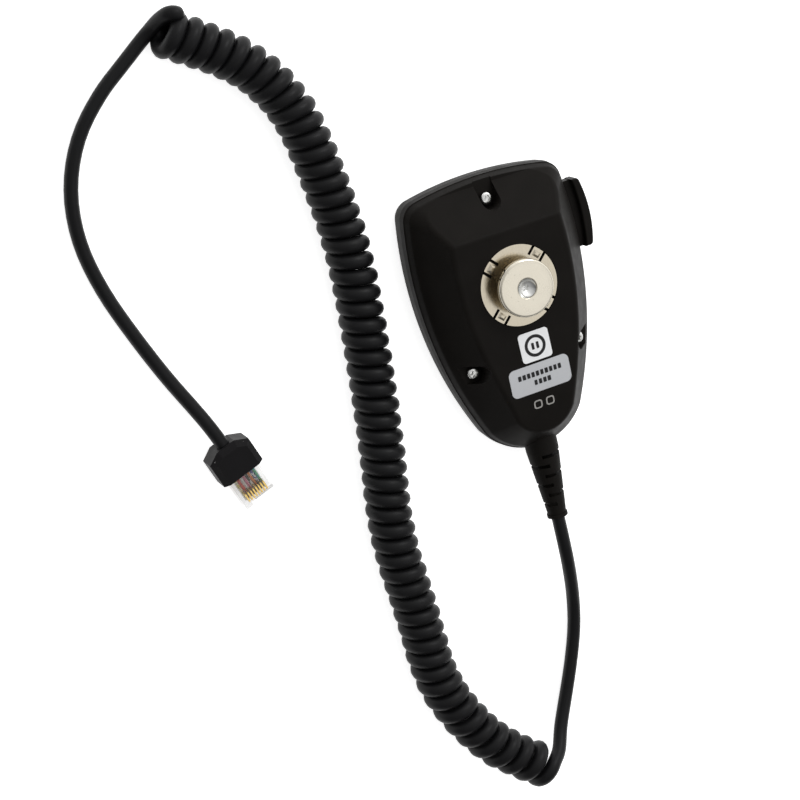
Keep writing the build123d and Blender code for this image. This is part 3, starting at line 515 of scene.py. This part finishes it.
def thicken(bm, rise):
    """Close a sheet into a thin skin, with its points in the same order each run."""
    sheet, rim = bm.faces[:], [edge for edge in bm.edges if edge.is_boundary]
    above = {}
    for vert in bm.verts[:]:
        above[vert] = bm.verts.new((vert.co.x, vert.co.y, vert.co.z + rise))
    for face in sheet:
        bm.faces.new([above[vert] for vert in face.verts])
    for edge in rim:
        first, second = edge.verts
        bm.faces.new((first, second, above[second], above[first]))


def add_marks(name, label, ink_look, shapes):
    """Print shapes on a label: each point drops onto its top, and the ink is a thin skin."""
    source = nodes[label].data
    places = [v.co for v in source.vertices]
    tree = BVHTree.FromPolygons(places, [p.vertices for p in source.polygons])
    lift, ink, above = 0.02 * MM, 0.05 * MM, 0.1
    bm = bmesh.new()
    for outline, hole in shapes:
        flat_shape(bm, outline, hole)
    bmesh.ops.recalc_face_normals(bm, faces=bm.faces)
    for vert in bm.verts:
        hit = tree.ray_cast(Vector((vert.co.x, vert.co.y, above)), -UP)[0]
        vert.co.z = hit.z + lift if hit else PLATEAU_Z + lift
    if sum(f.normal.z for f in bm.faces) < 0:
        bmesh.ops.reverse_faces(bm, faces=bm.faces)
    thicken(bm, ink - lift)
    add_piece(name, to_mesh(bm, name), ink_look)


def ring_points(x, y, radius, count=48):
    """A circle's points about x, y, from millimetres."""
    angles = [2 * pi * k / count for k in range(count)]
    return [Vector((x + radius * cos(a), y + radius * sin(a), 0)) * MM for a in angles]


def block_points(x, y, width, height, corner=0.25):
    """The points of a block with rounded corners about x, y, from millimetres."""
    across, up = width / 2 - corner, height / 2 - corner
    points = []
    for turned, (side_x, side_y) in enumerate(((1, 1), (-1, 1), (-1, -1), (1, -1))):
        middle = (x + side_x * across, y + side_y * up)
        points += arc(middle, corner, 90 * turned, 90 * turned + 90, 4)
    return [Vector((px, py, 0)) * MM for px, py in points]


def add_label_marks():
    """Plain marks in place of the print: a ring with two bars, rows of blocks and open marks."""
    x, y = STUD_X / MM + 0.65, STUD_Y / MM - 21.0
    ring = (ring_points(x, y, 3.75), ring_points(x, y, 2.7))
    bars = [(block_points(x + side * 0.85, y, 0.95, 2.3), ()) for side in (-1, 1)]
    add_marks("square_label_print", "square_label", INK, [ring] + bars)
    x, y = STUD_X / MM + 0.1, STUD_Y / MM - 31.7
    blocks = []
    pitch, height, row_gap = 1.62, 1.75, 1.45
    for row_y, shift, count in ((y + row_gap, 0.0, 10), (y - row_gap, 0.5, 4)):
        for k in range(count):
            along_row = x + shift + (k - (count - 1) / 2) * pitch
            width = 1.15 + 0.2 * noise.noise(Vector((along_row, row_y, 3)))
            blocks.append((block_points(along_row, row_y, width, height, 0.2), ()))
    add_marks("wide_label_print", "wide_label", INK, blocks)
    y = STUD_Y / MM - 40.9
    open_marks = []
    for side in (-1, 1):
        centre = STUD_X / MM - 0.2 + side * 2.2
        outer = block_points(centre, y, 3.0, 3.0, 0.9)
        open_marks.append((outer, block_points(centre, y, 2.1, 2.1, 0.6)))
    add_marks("case_print", "back_cover", PALE_INK, open_marks)


# ---- Camera, lights and floor --------------------------------------------------------------------

CAMERA_PLACE = Vector((-253.4, 210.45, 676.1)) * MM
CAMERA_TARGET = Vector((-43.15, -7.14, 0)) * MM
CAMERA_UP = Vector((0.3166, 0.9272, -0.2000))


def aim(thing, target, up):
    """Turn a camera or a light, which look along their own -Z, at a point."""
    back = (thing.location - target).normalized()
    right = up.cross(back).normalized()
    turn = Matrix((right, back.cross(right), back)).transposed()
    thing.rotation_euler = turn.to_euler()


def add_camera():
    data = bpy.data.cameras.new("camera")
    data.lens, data.sensor_width = 100, 36
    camera = bpy.data.objects.new("camera", data)
    bpy.context.collection.objects.link(camera)
    camera.location = CAMERA_PLACE
    aim(camera, CAMERA_TARGET, CAMERA_UP)
    bpy.context.scene.camera = camera


LIGHT_TARGET = Vector((-0.04, 0, 0))
# The sky's least strength, and the directions that it gets brighter towards
SKY_BASE = 0.12
SKY_GLOWS = [(UP, 0.35), (Vector((1, 0.5, 0.1)), 0.9), (Vector((0, 1, 0.3)), 0.5)]


def add_light(name, place, size, power):
    """A white rectangle of light that faces the object."""
    data = bpy.data.lights.new(name, "AREA")
    data.shape, data.size, data.size_y = "RECTANGLE", *size
    data.energy = power
    light = bpy.data.objects.new(name, data)
    bpy.context.collection.objects.link(light)
    light.location = place
    aim(light, LIGHT_TARGET, Vector((0, 1, 0.01)))


def add_stage():
    """A wide pale floor under soft studio light."""
    half = 3.0
    mesh = bpy.data.meshes.new("floor")
    corners = [(-half, -half, 0), (half, -half, 0), (half, half, 0), (-half, half, 0)]
    mesh.from_pydata(corners, [], [(0, 1, 2, 3)])
    floor = bpy.data.objects.new("floor", mesh)
    bpy.context.collection.objects.link(floor)
    t = Tree("floor_paper")
    fibre = t.noise(3 * MM, 4)
    t.set(Base_Color=t.mix(fibre, (0.90, 0.90, 0.90, 1), (0.94, 0.94, 0.94, 1)), Roughness=0.95)
    t.set(Specular_IOR_Level=0.05, Emission_Color=(1, 1, 1, 1), Emission_Strength=0.75)
    mesh.materials.append(t.material)

    world = bpy.data.worlds.new("studio")
    world.use_nodes = True
    sky, links = world.node_tree.nodes, world.node_tree.links
    facing = sky.new("ShaderNodeTexCoord").outputs["Generated"]
    glow = None
    for direction, strength in SKY_GLOWS:
        dot = sky.new("ShaderNodeVectorMath")
        dot.operation = "DOT_PRODUCT"
        links.new(facing, dot.inputs[0])
        dot.inputs[1].default_value = direction.normalized()
        share = sky.new("ShaderNodeMapRange")
        share.clamp = True
        links.new(dot.outputs["Value"], share.inputs[0])
        for socket, value in zip(share.inputs[1:], (0.1, 1.0, 0.0, strength)):
            socket.default_value = value
        total = sky.new("ShaderNodeMath")
        total.inputs[0].default_value = SKY_BASE
        if glow:
            links.new(glow, total.inputs[0])
        links.new(share.outputs[0], total.inputs[1])
        glow = total.outputs[0]
    links.new(glow, sky["Background"].inputs["Strength"])
    sky["Background"].inputs["Color"].default_value = (1, 1, 1, 1)
    bpy.context.scene.world = world
    bpy.context.scene.view_settings.view_transform = "Standard"
    add_light("key", (0.75, 0.85, 0.9), (0.7, 0.5), 4)
    add_light("metal_light", (0.27, -0.33, 1.0), (0.5, 0.5), 0.42)


add_camera()
add_stage()

# ---- Cord ----------------------------------------------------------------------------------------

# Points that steer the cord's three stretches, in millimetres, from the microphone to the plug
MIC_TAIL = [
    (-2.6, -60.45, 12.8),
    (-2.6, -72.0, 12.8),
    (-1.6, -83.5, 9.2),
    (-0.8, -95.0, 4.6),
    (-2.0, -106.5, 2.4),
    (-6.4, -119.0, 2.4),
    (-11.4, -130.4, 2.7),
    (-16.6, -139.8, 4.6),
    (-20.2, -145.6, 8.8),
]
COIL = [
    (-24.5, -151.2),
    (-39.3, -139.4),
    (-50.6, -122.0),
    (-57.6, -103.0),
    (-57.8, -78.0),
    (-60.2, -48.0),
    (-55.4, -17.0),
    (-52.0, 17.0),
    (-49.8, 50.0),
    (-52.9, 80.4),
    (-56.4, 98.2),
    (-64.6, 112.6),
    (-76.3, 122.9),
    (-89.2, 130.8),
]
PLUG_TAIL = [
    (-84.9, 136.2, 12.2),
    (-88.0, 137.6, 11.9),
    (-90.5, 136.2, 8.0),
    (-93.1, 133.5, 4.0),
    (-97.0, 130.5, 2.35),
    (-104.6, 125.0, 2.35),
    (-113.5, 118.8, 2.35),
    (-124.0, 108.0, 2.35),
    (-130.9, 93.5, 2.35),
    (-132.9, 77.0, 2.35),
    (-130.0, 60.0, 2.35),
    (-124.2, 43.0, 2.35),
    (-117.6, 26.2, 2.35),
    (-111.9, 14.0, 3.2),
    (-108.1, 4.9, 5.5),
    (-104.9, -4.6, 5.5),
]
CORD_DIAMETER = 4.8 * MM
TAIL_RADIUS, TURN_RADIUS = 2.3 * MM, 2.65 * MM
COIL_RADIUS = 7.8 * MM
# Distance along the coil from its microphone end, and the pitch of its turns there, in millimetres
PITCHES = [(0, 6.2), (45, 6.1), (62, 5.36), (210, 5.45), (235, 5.17), (312, 5.14)]
STEPS_PER_TURN = 16
COIL_START = 2.2 * MM
# Turns are counted from straight up
FIRST_TURN, TURN_COUNT = -0.1, 56.82
# Points over which the jacket thickens from the tails to the coil
THICKENING = 8


def nurbs_line(points):
    """Points along the smooth line that a route's points steer, with no bevel on it."""
    data = bpy.data.curves.new("line", "CURVE")
    data.dimensions = "3D"
    spline = data.splines.new("NURBS")
    spline.points.add(len(points) - 1)
    for target, point in zip(spline.points, points):
        target.co = (*point, 1)
    spline.order_u, spline.use_endpoint_u = 3, True
    spline.resolution_u = 24
    holder = bpy.data.objects.new("line", data)
    mesh = bpy.data.meshes.new_from_object(holder)
    line = [v.co.copy() for v in mesh.vertices]
    bpy.data.objects.remove(holder)
    bpy.data.curves.remove(data)
    bpy.data.meshes.remove(mesh)
    return line


def along(line, distance):
    """The place and the direction at a distance along a line, past its end if need be."""
    index = 1
    while index < len(line) - 1 and distance > (line[index] - line[index - 1]).length:
        distance -= (line[index] - line[index - 1]).length
        index += 1
    run = line[index] - line[index - 1]
    place = line[index - 1] + run.normalized() * distance
    ahead = line[min(index + 2, len(line) - 1)] - line[max(index - 3, 0)]
    return place, ahead.normalized()


def read_off(table, at):
    """Read a value off a table of pairs, in straight lines between them."""
    for (low, first), (high, second) in zip(table, table[1:]):
        if at <= high:
            return first + (second - first) * max(0, at - low) / (high - low)
    return table[-1][1]


def helix_points():
    """Points of the curly stretch: a helix round the coil's line, from the microphone's end."""
    coil_line = nurbs_line([Vector((x, y, 0)) * MM + UP * COIL_RADIUS for x, y in COIL])
    steered = 0.75 + 0.25 * cos(2 * pi / STEPS_PER_TURN)
    points = []
    distance = COIL_START
    for step in range(round(TURN_COUNT * STEPS_PER_TURN)):
        turn = 2 * pi * (FIRST_TURN + step / STEPS_PER_TURN)
        place, ahead = along(coil_line, distance)
        side = UP.cross(ahead).normalized()
        uneven = 1 + 0.010 * sin(0.37 * turn) + 0.012 * noise.noise(Vector((turn / 9, 0.3, 0)))
        radius = (COIL_RADIUS - TURN_RADIUS) / steered * uneven
        lift = COIL_RADIUS * (uneven - 1)
        points.append(place + radius * (cos(turn) * UP + sin(turn) * side) + lift * UP)
        distance += read_off(PITCHES, distance / MM) * MM / STEPS_PER_TURN
    return points


def add_cord():
    """The cord as one tube: the tail from the case, the curly stretch and the tail to the plug."""
    mic_tail = [Vector(p) * MM for p in MIC_TAIL]
    turns = helix_points()
    plug_tail = [Vector(p) * MM for p in PLUG_TAIL]
    route = mic_tail + turns + plug_tail
    data = bpy.data.curves.new("cord", "CURVE")
    data.dimensions = "3D"
    spline = data.splines.new("NURBS")
    spline.points.add(len(route) - 1)
    first_turn, last_turn = len(mic_tail), len(mic_tail) + len(turns)
    for index, (target, point) in enumerate(zip(spline.points, route)):
        target.co = (*point, 1)
        half = THICKENING / 2
        inside = min(index - first_turn + half, last_turn + half - index) / THICKENING
        blend = max(0.0, min(1.0, inside))
        radius = TAIL_RADIUS + (TURN_RADIUS - TAIL_RADIUS) * blend
        target.radius = radius / (CORD_DIAMETER / 2)
    spline.order_u, spline.use_endpoint_u = 3, True
    spline.resolution_u = 4
    data.bevel_depth, data.bevel_resolution = CORD_DIAMETER / 2, 5
    data.use_fill_caps = True
    cord = bpy.data.objects.new("curly_cord_lead", data)
    bpy.context.collection.objects.link(cord)
    data.materials.append(SLOT_LOOKS["cord_jacket"])
    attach(cord, "microphone")
    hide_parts("cord_tail_mic", "curly_cord", "cord_tail_plug")


# ---- Plug ----------------------------------------------------------------------------------------

# The plug's own frame: it points along its bearing from the place where the cord enters it
PLUG_PLACE = Vector((-106.5, 0.15, 0))
PLUG_AHEAD = Vector((cos(radians(-71.5)), sin(radians(-71.5)), 0))
PLUG_ACROSS = UP.cross(PLUG_AHEAD)
CONTACT_PITCH, CONTACT_COUNT = 1.02, 8
ROWS = [(k - (CONTACT_COUNT - 1) / 2) * CONTACT_PITCH for k in range(CONTACT_COUNT)]
# Each wire's colour, and its stripe's, from the plug's left
WIRES = [
    ((0.95, 0.72, 0.22), (0.95, 0.90, 0.70, 1)),
    ((0.85, 0.07, 0.04), None),
    ((0.95, 0.93, 0.89), None),
    ((0.95, 0.28, 0.42), None),
    ((0.035, 0.030, 0.030), (0.80, 0.78, 0.74, 1)),
    ((0.92, 0.28, 0.07), None),
    ((0.92, 0.92, 0.95), (0.03, 0.05, 0.35, 1)),
    ((0.05, 0.42, 0.40), (0.12, 0.55, 0.25, 1)),
]


def in_plug(x, y, z):
    """A place given in millimetres along, across and above the plug."""
    return (PLUG_PLACE + PLUG_AHEAD * x + PLUG_ACROSS * y + UP * z) * MM


def add_wires():
    """Eight wires side by side in the plug, none of them quite straight."""
    data = bpy.data.curves.new("plug_wires_coloured", "CURVE")
    data.dimensions = "3D"
    data.bevel_depth, data.bevel_resolution, data.use_fill_caps = 0.48 * MM, 4, True
    start, end, height, count = 7.6, 20.1, 5.2, 9
    for index, (row, (colour, stripe)) in enumerate(zip(ROWS, WIRES)):
        data.materials.append(insulation(f"wire_{index + 1}", colour, stripe))
        spline = data.splines.new("NURBS")
        spline.points.add(count - 1)
        for k, point in enumerate(spline.points):
            free = 0 < k < count - 1
            sway = 0.16 * noise.noise(Vector((k * 0.9, index * 3.7, 0))) if free else 0
            lift = 0.04 * noise.noise(Vector((k * 0.9, index * 3.7, 5)))
            reach = start + (end - start) * k / (count - 1)
            point.co = (*in_plug(reach, row + sway, height + lift), 1)
        spline.order_u, spline.use_endpoint_u = 4, True
        spline.material_index = index
    wires = bpy.data.objects.new("plug_wires_coloured", data)
    bpy.context.collection.objects.link(wires)
    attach(wires, "microphone")
    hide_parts("plug_wires")
    return wires


def add_contacts():
    """Eight gold blades with their upper corners cut off, each in its slot."""
    bm = bmesh.new()
    half, low, high = 0.29, 5.68, 8.75
    back, front, cut = 16.9, 20.4, 0.45
    for row in ROWS:
        side = [(back, low), (front, low), (front, high - cut), (front - cut, high)]
        side += [(back + cut, high), (back, high - cut)]
        left = [bm.verts.new(in_plug(x, row - half, z)) for x, z in side]
        right = [bm.verts.new(in_plug(x, row + half, z)) for x, z in side]
        bm.faces.new(left)
        bm.faces.new(list(reversed(right)))
        for k in range(len(side)):
            follow = (k + 1) % len(side)
            bm.faces.new((left[k], right[k], right[follow], left[follow]))
    bmesh.ops.recalc_face_normals(bm, faces=bm.faces)
    bevel = {"offset": 0.06 * MM, "segments": 2, "profile": 0.7, "affect": "EDGES"}
    bmesh.ops.bevel(bm, geom=bm.edges[:], **bevel)
    mesh = to_mesh(bm, "plug_contacts_gold")
    look = SLOT_LOOKS["contact_gold"]
    return add_piece("plug_contacts_gold", mesh, look, ["plug_contacts"])


plug_wires, plug_contacts = add_wires(), add_contacts()
add_cord()
add_stud()
add_cover_screws()
add_springs()
add_label_marks()

# ---- CAD pieces ----------------------------------------------------------------------------------

slots = {part["node"]: part["material_slot"] for part in frame["record"]["subparts"]}
for name, node in nodes.items():
    node.data.materials.clear()
    node.data.materials.append(SLOT_LOOKS[slots[name]])
